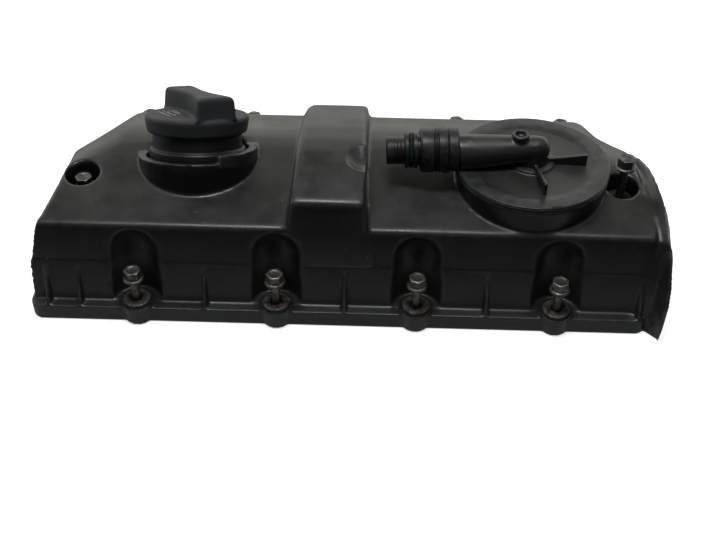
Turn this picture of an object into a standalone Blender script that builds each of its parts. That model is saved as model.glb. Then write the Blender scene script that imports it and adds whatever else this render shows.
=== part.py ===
"""Four-cylinder engine valve cover with filler neck, breather valve and captive bolts.

Units are metres, +Z is up. The origin is the centre of the sealing face, midway between
the front row of bolts (at -Y) and the rear row (at +Y). X runs along the crankshaft and
the timing end of the engine is at +X.
"""

import math

import bmesh
import bpy
from mathutils import Matrix, Vector

MM = 0.001
GAP = 0.3 * MM
WELD = 0.004 * MM

# Bolt layout: four front bolts on the bore pitch, five rear bolts, one at each end.
BORE_PITCH = 88 * MM
ROW_Y = 88 * MM
FRONT_BOLT_X = [(i - 1.5) * BORE_PITCH for i in range(4)]
REAR_BOLT_X = [-152 * MM, -75 * MM, 0, 75 * MM, 152 * MM]
LEFT_END_BOLT_X = -170 * MM
RIGHT_END_BOLT_X = 172 * MM
END_BOLT_Y = -32 * MM

# Flange and seal.
FLANGE_LEFT = -200 * MM
FLANGE_RIGHT = 190 * MM
FLANGE_FRONT = -93 * MM
FLANGE_REAR = 100 * MM
FLANGE_TOP = 11 * MM
FLANGE_FRONT_CORNER = 7 * MM
FLANGE_REAR_CORNER = 34 * MM
GROOVE_INSET = 14.8 * MM
GROOVE_RIGHT_INSET = 7.2 * MM
GROOVE_WIDTH = 4 * MM
GROOVE_DEPTH = 4 * MM
GROOVE_CORNER = 30 * MM

# Bolt seats. Each boss holds a rubber grommet, a steel sleeve with a washer head and a bolt.
SEAT_Z = 11.4 * MM
BOSS_R = 8.8 * MM
SEAT_BORE_R = 6.3 * MM
SLEEVE_TOP = 16.0 * MM
WASHER_R = 8.5 * MM
WASHER_T = 1.6 * MM
LEFT_SEAT_RISE = 32 * MM
RIGHT_SEAT_RISE = 46 * MM
POCKET_R = 16 * MM
POCKET_HIGH_R = 17.6 * MM
POCKET_TOP = 66 * MM
END_POCKET_R = 10.6 * MM
END_BORE_R = 4.0 * MM

# M6 flange bolts.
BOLT_HEX_R = 10 / math.sqrt(3) * MM
BOLT_HEAD_H = 7.4 * MM
BOLT_FLANGE_R = 6.8 * MM
BOLT_FLANGE_H = 1.7 * MM
BOLT_SHANK_R = 2.6 * MM
BOLT_THREAD_R = 3.0 * MM
SHORT_BOLT_L = 30 * MM
LONG_BOLT_L = 60 * MM
SHORT_BOLT_RAISE = 15.5 * MM
LEFT_BOLT_RAISE = 12.5 * MM
RIGHT_BOLT_RAISE = 23 * MM

# Body walls.
WALL = 3.2 * MM
TOP_SLOPE = math.radians(9)
# The top as (sloping length, crown radius, angle where the crown ends).
CROWNS = {
    "left": (36 * MM, 62 * MM, math.radians(76)),
    "middle": (60 * MM, 104 * MM, math.radians(56)),
    "right": (42 * MM, 75 * MM, math.radians(68)),
}
# The rear corners in plan as side: (Y where the rounding starts, radius).
PLAN_CORNER = {-1: (-40 * MM, 130 * MM), 1: (-10 * MM, 140 * MM)}

GUSSET_X = [-188 * MM, -168 * MM, -89 * MM, -1 * MM, 88 * MM, 184 * MM]
CORNER_LUG_X = [-165 * MM, 165 * MM]
CORNER_LUG_Y = 76 * MM

# Hump over the middle of the cover.
HUMP_LEFT = -34.5 * MM
HUMP_RIGHT = 10.6 * MM
SCOOP_CENTRE = Vector((10.5, -39.5, 106)) * MM
SCOOP_R = 19 * MM

# Breather valve drum.
DRUM_X = 114.4 * MM
DRUM_Y = -27.35 * MM
DRUM_R = 47.4 * MM
DRUM_BORE_R = 42 * MM
DRUM_LEDGE_R = 45 * MM
DRUM_LEDGE_Z = 79.3 * MM
DRUM_TOP = 82.3 * MM
DRUM_FLOOR = 66 * MM
LID_R = 48.8 * MM
LID_BOTTOM = DRUM_TOP + GAP
LID_TOP = 85.1 * MM
DISH_R = 37.5 * MM
DISH_Z = 84.2 * MM
SEAT_TUBE_R = 10 * MM
DUCT_R = 6.5 * MM
SEAT_TUBE_Z = 76.6 * MM
PLATE_TOP = 72.2 * MM
PLATE_T = 1.4 * MM
PLATE_R = 20 * MM

DRUM_PLACE = Matrix.Translation((DRUM_X, DRUM_Y, 0))

# Outlet pipe: its axis runs from the elbow to the end of the connector spigot.
PIPE_START = Vector((120, -27.35, 95)) * MM
PIPE_END = Vector((22.8, -31.3, 93.0)) * MM
PIPE_ELBOW_R = 7.9 * MM
PIPE_MOUTH_R = 11.6 * MM
PIPE_TAPER_END = 52 * MM
PIPE_NOSE_R = 9.4 * MM
PIPE_NOSE_END = 70 * MM

# Oil filler. Heights are along the filler axis, from the low part of the collar rim.
FILLER_RIM = Vector((-98.0, -15.9, 76.3)) * MM
FILLER_TILT = math.radians(24.3)
COLLAR_R = 38 * MM
COLLAR_BORE_R = 32.4 * MM
COLLAR_STEP = 5.2 * MM
COLLAR_STEP_FROM = math.radians(-61)
COLLAR_STEP_TO = math.radians(134)
WELL_FLOOR = -6.5 * MM
NECK_BORE_R = 29.3 * MM
NECK_SEAT = -13 * MM
THROAT_R = 22 * MM
SKIRT_LOW = 14.9 * MM
SKIRT_HIGH = 26.2 * MM
SKIRT_LOW_R = 31.7 * MM
SKIRT_HIGH_R = 33.0 * MM
GRIP_ANGLE = math.radians(122)
GRIP_LENGTH = 62 * MM
GRIP_H = 13.5 * MM

# Oil separator baffle.
BAFFLE_Z = 55 * MM
BAFFLE_T = 2 * MM
BAFFLE_SCREWS = [(72 * MM, -55 * MM), (72 * MM, 30 * MM), (145 * MM, -55 * MM), (145 * MM, 30 * MM)]

# The end walls, outside and inside, as (height, distance from the middle) stops.
LEFT_END = [(0, 198.6 * MM), (36.8 * MM, 198 * MM), (37.5 * MM, 197 * MM), (64.4 * MM, 190.5 * MM),
            (74.5 * MM, 178.5 * MM)]
RIGHT_END = [(0, 188 * MM), (64.4 * MM, 188 * MM), (74.5 * MM, 184 * MM)]
LEFT_END_INSIDE = [(14 * MM, 176 * MM), (26 * MM, 189.5 * MM), (36.8 * MM, 189 * MM),
                   (61.5 * MM, 182.5 * MM), (71.5 * MM, 168 * MM)]
RIGHT_END_INSIDE = [(14 * MM, 169.5 * MM), (26 * MM, 183 * MM), (61.5 * MM, 183 * MM),
                    (71.5 * MM, 176.5 * MM)]
# The timing end's lip: its thickness, and how far it flares beyond the end wall.
LIP = 2.3 * MM
LIP_TIPS = [(188, 33, 50), (188.5, 21.9, 58.7), (190, 2, 68.7), (191.5, -13.8, 73.7), (193, -28.7, 75.2),
            (194.5, -45.1, 74.3), (195.5, -58, 72.6), (196.2, -67.8, 68.9), (196.5, -79.2, 62.6),
            (196.5, -86.3, 56.8), (196.5, -95.9, 41.1), (196.5, -100.1, 28.3), (196.5, -100.4, 12.1),
            (196.5, -98.4, -3)]
LIP_ROOTS = [(184, 33, 46), (183, 20, 54), (182, 0, 62), (182, -14, 66), (182, -29, 68.5), (182, -45, 69),
             (182, -58, 67.5), (183, -68, 65), (184, -74.5, 62), (184, -77, 54), (182, -79, 39),
             (180, -82, 27), (178.5, -85, 12), (178.5, -88, -3)]

MATERIALS = {
    "cover_plastic": ((0.020, 0.021, 0.022), 0.42, 0.0),
    "cap_plastic": ((0.028, 0.030, 0.034), 0.55, 0.0),
    "connector_plastic": ((0.012, 0.012, 0.013), 0.32, 0.0),
    "black_rubber": ((0.010, 0.010, 0.010), 0.75, 0.0),
    "green_rubber": ((0.03, 0.09, 0.05), 0.65, 0.0),
    "bolt_steel": ((0.42, 0.39, 0.35), 0.42, 1.0),
    "washer_steel": ((0.33, 0.28, 0.23), 0.5, 1.0),
    "spring_steel": ((0.55, 0.55, 0.56), 0.3, 1.0),
    "black_steel": ((0.03, 0.03, 0.03), 0.4, 1.0),
}


# ---------------------------------------------------------------- helpers

def clear_scene():
    for obj in list(bpy.data.objects):
        bpy.data.objects.remove(obj)


def make_material(name):
    colour, roughness, metallic = MATERIALS[name]
    mat = bpy.data.materials.new(name)
    mat.use_nodes = True
    shader = mat.node_tree.nodes["Principled BSDF"]
    shader.inputs["Base Color"].default_value = (*colour, 1.0)
    shader.inputs["Roughness"].default_value = roughness
    shader.inputs["Metallic"].default_value = metallic
    return mat


def finish(obj, material):
    """Give an object its one material and smooth its round faces."""
    obj.data.materials.clear()
    obj.data.materials.append(bpy.data.materials[material])
    for face in obj.data.polygons:
        face.material_index = 0
    obj.data.shade_smooth()
    obj.data.set_sharp_from_angle(angle=math.radians(35))
    return obj


def to_object(name, bm, placed=None):
    bmesh.ops.recalc_face_normals(bm, faces=bm.faces)
    mesh = bpy.data.meshes.new(name)
    bm.to_mesh(mesh)
    bm.free()
    obj = bpy.data.objects.new(name, mesh)
    bpy.context.collection.objects.link(obj)
    if placed is not None:
        obj.matrix_world = placed
    return obj


def loft(name, rings, placed=None):
    """Skin a row of rings that have equal point counts, and cap both ends with a fan."""
    bm = bmesh.new()
    rows = [[bm.verts.new(point) for point in ring] for ring in rings]
    count = len(rows[0])
    for low, high in zip(rows, rows[1:]):
        for i in range(count):
            j = (i + 1) % count
            bm.faces.new((low[i], low[j], high[j], high[i]))
    for row in (rows[0], rows[-1]):
        centre = sum((v.co for v in row), Vector()) / count
        hub = bm.verts.new(centre)
        for i in range(count):
            bm.faces.new((row[i], row[(i + 1) % count], hub))
    bmesh.ops.triangulate(bm, faces=bm.faces)
    return to_object(name, bm, placed)


def turned(name, outline, segments, placed=None):
    """Revolve a closed (radius, height) outline about the local Z axis."""
    bm = bmesh.new()
    rows = []
    for radius, height in outline:
        if radius < 1e-7:
            rows.append([bm.verts.new((0, 0, height))])
            continue
        angles = [2 * math.pi * i / segments for i in range(segments)]
        rows.append([bm.verts.new((radius * math.cos(a), radius * math.sin(a), height)) for a in angles])
    for k, row in enumerate(rows):
        other = rows[(k + 1) % len(rows)]
        if len(row) == 1 and len(other) == 1:
            continue
        for i in range(segments):
            j = (i + 1) % segments
            corners = [row[i % len(row)], row[j % len(row)], other[j % len(other)], other[i % len(other)]]
            bm.faces.new(list(dict.fromkeys(corners)))
    return to_object(name, bm, placed)


def prism(name, outline, low, high, placed=None):
    """Extrude a flat (x, y) outline from one height to another."""
    return loft(name, [[(x, y, z) for x, y in outline] for z in (low, high)], placed)


def cylinder(name, radius, low, high, segments, placed=None):
    return turned(name, [(0, low), (radius, low), (radius, high), (0, high)], segments, placed)


def combine(target, tool, operation):
    """Cut a tool from a target, or join it on, and delete the tool."""
    step = target.modifiers.new("combine", "BOOLEAN")
    step.operation = operation
    step.object = tool
    depsgraph = bpy.context.evaluated_depsgraph_get()
    mesh = bpy.data.meshes.new_from_object(target.evaluated_get(depsgraph))
    bm = bmesh.new()
    bm.from_mesh(mesh)
    bmesh.ops.remove_doubles(bm, verts=bm.verts, dist=WELD)
    bmesh.ops.dissolve_degenerate(bm, edges=bm.edges, dist=WELD)
    bmesh.ops.recalc_face_normals(bm, faces=bm.faces)
    bm.to_mesh(mesh)
    bm.free()
    target.modifiers.clear()
    target.data = mesh
    bpy.data.objects.remove(tool)
    return target


def cut(target, tool):
    return combine(target, tool, "DIFFERENCE")


def join(target, tool):
    return combine(target, tool, "UNION")


def at(x, y):
    return Matrix.Translation((x, y, 0))


def gather(tools):
    """Put separate, non-touching tools into one object, so that they act in a single step."""
    bm = bmesh.new()
    for tool in tools:
        tool.data.transform(tool.matrix_world)
        bm.from_mesh(tool.data)
    name = tools[0].name
    for tool in tools:
        bpy.data.objects.remove(tool)
    return to_object(name, bm)


def arc(centre, radius, start, end, steps):
    """Points on a circle, with angles measured from the +x or +y side of a plane."""
    angles = [start + (end - start) * i / steps for i in range(steps + 1)]
    return [(centre[0] + radius * math.cos(a), centre[1] + radius * math.sin(a)) for a in angles]


def spline(points, steps):
    """A Catmull-Rom curve through a few points."""
    padded = [points[0]] + list(points) + [points[-1]]
    curve = [points[0]]
    for k in range(1, len(padded) - 2):
        a, b, c, d = (Vector(padded[k + i]) for i in (-1, 0, 1, 2))
        for i in range(1, steps + 1):
            t = i / steps
            p = 0.5 * ((2 * b) + (c - a) * t + (2 * a - 5 * b + 4 * c - d) * t ** 2
                       + (3 * b - a - 3 * c + d) * t ** 3)
            curve.append(tuple(p))
    return curve


def ramp(value, stops):
    """Piecewise linear interpolation between (input, output) stops."""
    if value <= stops[0][0]:
        return stops[0][1]
    for (x0, y0), (x1, y1) in zip(stops, stops[1:]):
        if value <= x1:
            return y0 + (y1 - y0) * (value - x0) / (x1 - x0)
    return stops[-1][1]


def scaled(points):
    """Pairs of millimetres as pairs of metres."""
    return [(a * MM, b * MM) for a, b in points]


def rounded_rectangle(left, right, front, rear, front_corner, rear_corner, steps=6):
    outline = []
    for cx, cy, r, start in (
        (right - front_corner, front + front_corner, front_corner, -90),
        (right - rear_corner, rear - rear_corner, rear_corner, 0),
        (left + rear_corner, rear - rear_corner, rear_corner, 90),
        (left + front_corner, front + front_corner, front_corner, 180),
    ):
        outline += arc((cx, cy), r, math.radians(start), math.radians(start + 90), steps)
    return outline


def ring_prism(name, outer, inner, low, high):
    """A flat closed frame between two outlines of equal point counts."""
    sections = []
    for (ax, ay), (bx, by) in zip(outer, inner):
        sections.append([(ax, ay, low), (ax, ay, high), (bx, by, high), (bx, by, low)])
    bm = bmesh.new()
    rows = [[bm.verts.new(p) for p in section] for section in sections]
    for k, row in enumerate(rows):
        other = rows[(k + 1) % len(rows)]
        for i in range(4):
            j = (i + 1) % 4
            bm.faces.new((row[i], row[j], other[j], other[i]))
    return to_object(name, bm)


def along(start, end):
    """A matrix whose Z axis runs from one point towards another."""
    direction = (end - start).normalized()
    return Matrix.Translation(start) @ direction.to_track_quat("Z", "Y").to_matrix().to_4x4()


# ---------------------------------------------------------------- cover shell

def crown(line_start, line_length, radius, end_angle, steps):
    """A sloping line followed by an arc that turns down to a given angle."""
    direction = Vector((math.cos(TOP_SLOPE), math.sin(TOP_SLOPE)))
    tangent = Vector(line_start) + direction * line_length
    centre = tangent + Vector((direction.y, -direction.x)) * radius
    return arc(centre, radius, math.pi / 2 + TOP_SLOPE, math.pi / 2 - end_angle, steps)


def outer_profile(place):
    """The (y, z) outline of the body's outside, front foot to rear foot."""
    points = scaled([(-85.2, -1), (-85.2, 11), (-80.4, 36.8), (-79.4, 37.5), (-76.9, 60.6), (-76.5, 62.6),
                     (-75.6, 64.1), (-74.0, 64.9)])
    line, radius, end_angle = CROWNS[place]
    points += crown(points[-1], line, radius, end_angle, 11)
    if place == "middle":
        return points + scaled([(90, 11), (90, -1)])
    return points + scaled([(50, 11), (60, 9)])


def inner_profile(place):
    """The (y, z) outline of the cavity, one wall inside the outer profile."""
    points = scaled([(-74.2, -1), (-74.2, 7), (-81.5, 13), (-77.4, 36.8), (-76.2, 37.8), (-73.6, 60.6),
                     (-73.2, 61.7)])
    line, radius, end_angle = CROWNS[place]
    points += crown(points[-1], line - 1 * MM, radius - WALL, end_angle - math.radians(1), 11)
    if place == "middle":
        return points + scaled([(86, 13), (74.2, 7), (74.2, -1)])
    return points + scaled([(35, 13), (35, 7), (35, -1)])


def end_ring(profile, side, stops):
    """An end ring: its X follows the height, and its rear corner is rounded in plan."""
    rounded_from, plan_r = PLAN_CORNER[side]
    ring = []
    for y, z in profile:
        behind = max(y - rounded_from, 0)
        x = ramp(z, stops) - plan_r + math.sqrt(plan_r ** 2 - behind ** 2)
        ring.append((side * x, y, z))
    return ring


def station(x, profile, end_profile, share):
    """A ring at one X, blended towards the end profile by a share."""
    return [(x, y + (v - y) * share, z + (w - z) * share) for (y, z), (v, w) in zip(profile, end_profile)]


def body_outside():
    middle = outer_profile("middle")
    left = outer_profile("left")
    right = outer_profile("right")
    rings = [
        end_ring(left, -1, LEFT_END),
        station(-160 * MM, middle, left, 0.3),
        station(-150 * MM, middle, middle, 0),
        station(157 * MM, middle, middle, 0),
        station(166 * MM, middle, right, 0.5),
        end_ring(right, 1, RIGHT_END),
    ]
    return loft("cover_shell", rings)


def body_cavity():
    middle = inner_profile("middle")
    rings = [
        end_ring(inner_profile("left"), -1, LEFT_END_INSIDE),
        station(-147 * MM, middle, middle, 0),
        station(150 * MM, middle, middle, 0),
        end_ring(inner_profile("right"), 1, RIGHT_END_INSIDE),
    ]
    return loft("cavity", rings)


def hump(inset):
    """The raised bridge across the cover. Its left edge is rounded off more towards the rear."""
    crest = spline(scaled([(-77.6, 70), (-77.2, 81), (-76, 84.4), (-72, 86.4), (-45, 91.6), (-20, 93.2),
                           (10, 89.6), (38, 80), (62, 63.5), (84, 33)]), 2)
    outline = scaled([(-80, 38.5)]) + crest + scaled([(60, 30), (-60, 34)])
    outline = [(y * (1 - inset / (80 * MM)), z - inset) for y, z in outline]
    front_flare = scaled([(61, 5), (66, 2.2), (74, 0.8), (84, 0), (94, -1)])
    left_taper = scaled([(-70, 0), (45, 2.5)])
    rounding = scaled([(-70, 0.8), (-20, 1.6), (45, 4.5)])
    rings = []
    for side, step_in, share in ((-1, 0, 1), (-1, 1.6, 0.36), (-1, 4.5, 0), (1, 2, 0), (1, 0, 0.2)):
        ring = []
        for y, z in outline:
            flare = ramp(z, front_flare) if y < -70 * MM else 0
            reach = flare - inset - step_in * MM
            x = HUMP_LEFT + ramp(y, left_taper) - reach if side < 0 else HUMP_RIGHT + reach
            drop = share * ramp(y, rounding) if z > 40 * MM else 0
            ring.append((x, y, z - drop))
        rings.append(ring)
    return loft("hump", rings)


def timing_lip():
    """The lip that flares out of the timing end, from the rear of the roof down to a point at the front."""
    tips = [Vector(p) * MM for p in LIP_TIPS]
    roots = [Vector(p) * MM for p in LIP_ROOTS]
    sections = []
    for i, (tip, base) in enumerate(zip(tips, roots)):
        ahead = tips[min(i + 1, len(tips) - 1)] - tips[max(i - 1, 0)]
        across = (tip - base).cross(ahead).normalized()
        if across.x < 0:
            across.negate()
        sag = across * 0.16 * (tip - base).length
        line = [base, base.lerp(tip, 0.5) + sag, tip]
        sections.append(line + [p + across * LIP for p in reversed(line)])
    return loft("lip", sections)


def gusset(x):
    """A thin triangular rib between the lower front wall and the flange."""
    outline = [(-83, 9), (-91.8, 9), (-91.8, 12), (-81.6, 35), (-79, 35)]
    half = 1.1 * MM
    return loft("gusset", [[(x + side * half, y * MM, z * MM) for y, z in outline] for side in (-1, 1)])


def pocket(x, y):
    """The arched recess over a bolt of either row, domed at its top, with the bolt's bore."""
    dome_from = 48 * MM
    outline = [(0, -1 * MM), (SEAT_BORE_R, -1 * MM), (SEAT_BORE_R, SEAT_Z), (POCKET_R, SEAT_Z),
               (POCKET_HIGH_R, dome_from)]
    for i in range(1, 4):
        a = math.pi / 2 * i / 4
        outline.append((POCKET_HIGH_R * math.cos(a), dome_from + (POCKET_TOP - dome_from) * math.sin(a)))
    outline.append((0, POCKET_TOP))
    return turned("pocket", outline, 18, at(x, y))


def scoop(radius):
    """The ball that presses a shallow dent into the hump's right edge."""
    ball = arc((0, 0), radius, -math.pi / 2, math.pi / 2, 8)
    return turned("scoop", ball, 16, Matrix.Translation(SCOOP_CENTRE))


def filler_frame():
    tilt = Matrix.Rotation(-FILLER_TILT, 4, "X")
    return Matrix.Translation(FILLER_RIM) @ tilt


def collar():
    """The filler collar: a tilted rim on a straight wall, one step higher round its rear."""
    place = filler_frame()
    rim = [place @ Vector((x, y, 0)) for x, y in arc((0, 0), COLLAR_R, 0, 2 * math.pi * 39 / 40, 39)]
    foot = [(p.x, p.y, 50 * MM) for p in rim]
    steps = 18
    outer = arc((0, 0), COLLAR_R, COLLAR_STEP_FROM, COLLAR_STEP_TO, steps)
    inner = arc((0, 0), COLLAR_BORE_R - 2 * MM, COLLAR_STEP_FROM, COLLAR_STEP_TO, steps)
    sections = []
    for (ax, ay), (bx, by) in zip(outer, inner):
        sections.append([(ax, ay, -3 * MM), (ax, ay, COLLAR_STEP), (bx, by, COLLAR_STEP), (bx, by, -3 * MM)])
    return join(loft("collar", [foot, rim]), loft("step", sections, place))


def corner_lug(x):
    """A round-topped lug at a rear corner."""
    outline = [(0, 9), (8.2, 9), (7.6, 33), (6.2, 36.6), (3.4, 38.4), (0, 38.8)]
    return turned("lug", scaled(outline), 14, at(x, CORNER_LUG_Y))


def bolt_places():
    """Every bolt as (node stem, x, y, seat rise, raise, under-head length)."""
    places = []
    for i, x in enumerate(FRONT_BOLT_X):
        places.append((f"front_bolt_{i + 1}", x, -ROW_Y, 0, SHORT_BOLT_RAISE, SHORT_BOLT_L))
    for i, x in enumerate(REAR_BOLT_X):
        places.append((f"rear_bolt_{i + 1}", x, ROW_Y, 0, SHORT_BOLT_RAISE, SHORT_BOLT_L))
    for name, (x, y, rise), lift in (("left_end_bolt", end_bolts()[0], LEFT_BOLT_RAISE),
                                     ("right_end_bolt", end_bolts()[1], RIGHT_BOLT_RAISE)):
        places.append((name, x, y, rise, lift, LONG_BOLT_L))
    return places


def row_bolts():
    return [(x, -ROW_Y) for x in FRONT_BOLT_X] + [(x, ROW_Y) for x in REAR_BOLT_X]


def end_bolts():
    """The end bolts as (x, y, seat rise)."""
    return [(LEFT_END_BOLT_X, END_BOLT_Y, LEFT_SEAT_RISE), (RIGHT_END_BOLT_X, END_BOLT_Y, RIGHT_SEAT_RISE)]


def groove_outlines(clearance):
    """Outer and inner outlines of the seal groove, or of the seal with a clearance."""
    outlines = []
    for offset in (-GROOVE_WIDTH / 2 + clearance, GROOVE_WIDTH / 2 - clearance):
        inset = GROOVE_INSET + offset
        corner = GROOVE_CORNER - offset
        rear_inset = FLANGE_REAR - (ROW_Y - 9.8 * MM) + offset
        right = FLANGE_RIGHT - GROOVE_RIGHT_INSET - offset
        outlines.append(rounded_rectangle(FLANGE_LEFT + inset, right, FLANGE_FRONT + inset,
                                          FLANGE_REAR - rear_inset, 8 * MM - offset, corner))
    return outlines


def shell_outside():
    """Everything that adds material to the cover's outside, trimmed at the sealing face."""
    shell = body_outside()
    flange = rounded_rectangle(FLANGE_LEFT, FLANGE_RIGHT, FLANGE_FRONT, FLANGE_REAR,
                               FLANGE_FRONT_CORNER, FLANGE_REAR_CORNER)
    join(shell, prism("flange", flange, -2 * MM, FLANGE_TOP))
    join(shell, hump(0))
    join(shell, timing_lip())
    drum = [(0, 55 * MM), (DRUM_R - 1 * MM, 55 * MM), (DRUM_R, DRUM_TOP - 2 * MM),
            (LID_R, DRUM_TOP - 1.9 * MM), (LID_R, DRUM_TOP), (0, DRUM_TOP)]
    join(shell, turned("drum", drum, 40, DRUM_PLACE))
    join(shell, collar())
    join(shell, gather([gusset(x) for x in GUSSET_X]))
    join(shell, gather([cylinder("boss", BOSS_R, -3 * MM, SEAT_Z + 1 * MM, 16, at(x, y))
                        for x, y in row_bolts()]))
    cut(shell, prism("below_face", rounded_rectangle(-0.3, 0.3, -0.3, 0.3, 0.01, 0.01), -20 * MM, 0))
    return shell


def shell_cavity():
    """The hollow under the cover, leaving walls round every recess and bore."""
    cavity = body_cavity()
    join(cavity, hump(WALL))
    wall_r = POCKET_HIGH_R + 0.9 * WALL
    cut(cavity, gather([cylinder("pocket_wall", wall_r, -2 * MM, POCKET_TOP + WALL, 16, at(x, y))
                        for x, y in row_bolts()]))
    column = scaled([(0, -2), (10, -2), (10, 28), (14.2, 32), (14.2, 90), (0, 90)])
    cut(cavity, gather([turned("end_column", column, 20, at(x, y)) for x, y, rise in end_bolts()]))
    cut(cavity, cylinder("drum_floor", DRUM_R + 0.4 * MM, DRUM_FLOOR - WALL, 100 * MM, 40, DRUM_PLACE))
    well = scaled([(0, -17), (34.5, -17), (36.5, 20), (0, 20)])
    cut(cavity, turned("well_wall", well, 40, filler_frame()))
    screw_top = BAFFLE_Z + BAFFLE_T + GAP
    cut(cavity, gather([cylinder("baffle_boss", 4 * MM, screw_top, 100 * MM, 12, at(x, y))
                        for x, y in BAFFLE_SCREWS]))
    cut(cavity, scoop(SCOOP_R + 2.4 * MM))
    return cavity


def end_bore(x, y, rise):
    """The round pocket, seat and bore of an end bolt."""
    seat = SEAT_Z + rise
    outline = [(0, -1 * MM), (END_BORE_R, -1 * MM), (END_BORE_R, rise),
               (SEAT_BORE_R, rise), (SEAT_BORE_R, seat), (END_POCKET_R, seat),
               (END_POCKET_R + 0.5 * MM, 100 * MM), (0, 100 * MM)]
    return turned("end_bore", outline, 20, at(x, y))


def cover_shell():
    shell = shell_outside()
    cut(shell, shell_cavity())
    cut(shell, gather([pocket(x, y) for x, y in row_bolts()]))
    join(shell, gather([corner_lug(x) for x in CORNER_LUG_X]))
    cut(shell, gather([end_bore(x, y, rise) for x, y, rise in end_bolts()]))
    drum_bore = [(0, DRUM_FLOOR), (DRUM_BORE_R, DRUM_FLOOR), (DRUM_BORE_R, DRUM_LEDGE_Z),
                 (DRUM_LEDGE_R, DRUM_LEDGE_Z), (DRUM_LEDGE_R, 100 * MM), (0, 100 * MM)]
    cut(shell, turned("drum_bore", drum_bore, 40, DRUM_PLACE))
    filler_bore = [(0, -50 * MM), (THROAT_R, -50 * MM), (THROAT_R, NECK_SEAT), (NECK_BORE_R, NECK_SEAT),
                   (NECK_BORE_R, WELL_FLOOR), (COLLAR_BORE_R, WELL_FLOOR), (COLLAR_BORE_R, 30 * MM),
                   (0, 30 * MM)]
    cut(shell, turned("filler_bore", filler_bore, 40, filler_frame()))
    outer, inner = groove_outlines(0)
    cut(shell, ring_prism("groove", outer, inner, -1 * MM, GROOVE_DEPTH))
    holes = [cylinder("gas_inlet", 6 * MM, 50 * MM, 70 * MM, 14, at(DRUM_X + side * 30 * MM, DRUM_Y))
             for side in (-1, 1)]
    holes += [cylinder("screw_hole", 2 * MM, 40 * MM, BAFFLE_Z + 9 * MM, 10, at(x, y))
              for x, y in BAFFLE_SCREWS]
    cut(shell, gather(holes))
    cut(shell, scoop(SCOOP_R))
    return finish(shell, "cover_plastic")


def perimeter_gasket():
    outer, inner = groove_outlines(GAP)
    gasket = ring_prism("perimeter_gasket", outer, inner, 0.2 * MM, GROOVE_DEPTH - GAP)
    return finish(gasket, "green_rubber")


# ---------------------------------------------------------------- bolts and their seats

def bolt(name, x, y, under_head, length, material):
    """A flange bolt with its origin on its own axis, under its head."""
    outline = [(0, -length), (BOLT_THREAD_R - 0.8 * MM, -length), (BOLT_THREAD_R, -length + 1.2 * MM),
               (BOLT_THREAD_R, -length + 13 * MM), (BOLT_SHANK_R, -length + 13.6 * MM), (BOLT_SHANK_R, 0),
               (BOLT_FLANGE_R, 0), (BOLT_FLANGE_R, 0.7 * MM), (BOLT_HEX_R - 0.3 * MM, BOLT_FLANGE_H),
               (0, BOLT_FLANGE_H)]
    place = Matrix.Translation((x, y, under_head))
    obj = turned(name, outline, 10, place)
    head = [(0, 1 * MM), (BOLT_HEX_R, 1 * MM), (BOLT_HEX_R, BOLT_HEAD_H - 0.7 * MM),
            (BOLT_HEX_R - 0.9 * MM, BOLT_HEAD_H), (0, BOLT_HEAD_H)]
    join(obj, turned("head", head, 6, place))
    return finish(obj, material)


def seat_sleeve(name, x, y, rise):
    """A steel sleeve with a washer head; it stops the bolt from crushing the rubber."""
    under = SLEEVE_TOP - WASHER_T
    outline = [(3.4 * MM, GAP), (4.6 * MM, GAP), (4.6 * MM, under), (WASHER_R, under),
               (WASHER_R, SLEEVE_TOP), (3.4 * MM, SLEEVE_TOP)]
    return finish(turned(name, outline, 12, Matrix.Translation((x, y, rise))), "washer_steel")


def grommet(name, x, y, rise):
    """A rubber ring between the washer and the boss, with a tube down the bore."""
    low = SEAT_Z + GAP
    high = SLEEVE_TOP - WASHER_T - GAP
    outline = [(4.9 * MM, 2 * MM), (6.0 * MM, 2 * MM), (6.0 * MM, low), (8.2 * MM, low),
               (8.8 * MM, (low + high) / 2), (8.2 * MM, high), (4.9 * MM, high)]
    return finish(turned(name, outline, 12, Matrix.Translation((x, y, rise))), "black_rubber")


def fasteners():
    for name, x, y, rise, lift, length in bolt_places():
        stem = name.replace("_bolt", "")
        material = "black_steel" if name == "right_end_bolt" else "bolt_steel"
        bolt(name, x, y, SLEEVE_TOP + rise + lift, length, material)
        seat_sleeve(f"{stem}_seat_sleeve", x, y, rise)
        grommet(f"{stem}_grommet", x, y, rise)


# ---------------------------------------------------------------- oil filler

def filler():
    axis = bpy.data.objects.new("filler_axis", None)
    bpy.context.collection.objects.link(axis)
    axis.matrix_world = filler_frame()
    neck = [(24.6, -12.5), (28.0, -12.5), (28.4, -9.6), (26.6, -9.6), (26.6, -6.8), (28.4, -6.8), (28.4, -4),
            (30.8, -4), (30.8, 4.6), (28.4, 5.4), (28.4, 22.4), (24.6, 22.4)]
    seal = [(27.0, -9.3), (28.6, -9.3), (29.0, -8.2), (28.6, -7.1), (27.0, -7.1)]
    ring = [(25.0, 22.7), (28.2, 22.7), (28.2, 24.3), (25.0, 24.3)]
    pieces = [
        finish(turned("filler_neck", scaled(neck), 30), "connector_plastic"),
        finish(turned("neck_seal", scaled(seal), 24), "green_rubber"),
        finish(turned("cap_seal", scaled(ring), 24), "black_rubber"),
        filler_cap(),
    ]
    for piece in pieces:
        piece.parent = axis


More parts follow.
